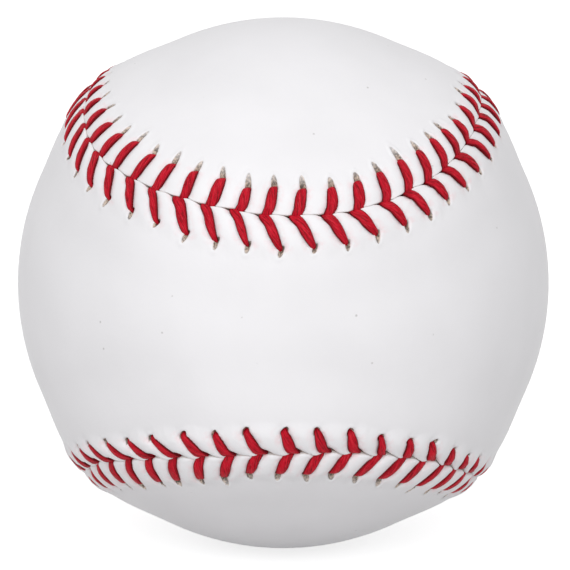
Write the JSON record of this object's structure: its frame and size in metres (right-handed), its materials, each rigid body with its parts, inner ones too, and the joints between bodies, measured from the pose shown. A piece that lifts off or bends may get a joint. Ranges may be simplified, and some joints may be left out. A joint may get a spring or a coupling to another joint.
{
  "type": "baseball",
  "caption": "Hand-sewn leather ball with a raised seam laced in red thread, over wound yarn and a cushioned cork centre.",
  "frame": {"origin": "centre of the ball", "axes": "-Y through the middle of the front panel's waist and +Y through the middle of the back panel's waist; +Z and -Z through the back panel's lobes, -X and +X through the front panel's lobes; the planes x = 0 and z = 0 halve the seam"},
  "size_m": [0.0738, 0.0738, 0.0738],
  "materials": {
    "cover_leather": "smooth white, very fine grain, low sheen",
    "stitch_thread": "waxed red thread, slight sheen",
    "grey_yarn": "wool yarn, matte",
    "white_yarn": "wool yarn, matte",
    "finishing_yarn": "fine cotton blend yarn, matte",
    "red_rubber": "moulded, matte",
    "black_rubber": "moulded, matte",
    "cork": "ground cork bound with rubber, matte"
  },
  "bodies": {
    "root": {"cork_core": "cork", "black_rubber_half_upper": "black_rubber", "black_rubber_half_lower": "black_rubber", "red_rubber_washer": "red_rubber", "red_rubber_half_upper": "red_rubber", "red_rubber_half_lower": "red_rubber", "first_winding": "grey_yarn", "second_winding": "white_yarn", "third_winding": "grey_yarn", "finishing_winding": "finishing_yarn", "cover_panel_front": "cover_leather", "cover_panel_back": "cover_leather", "stitch_thread_first": "stitch_thread", "stitch_thread_second": "stitch_thread"}
  },
  "joints": []
}
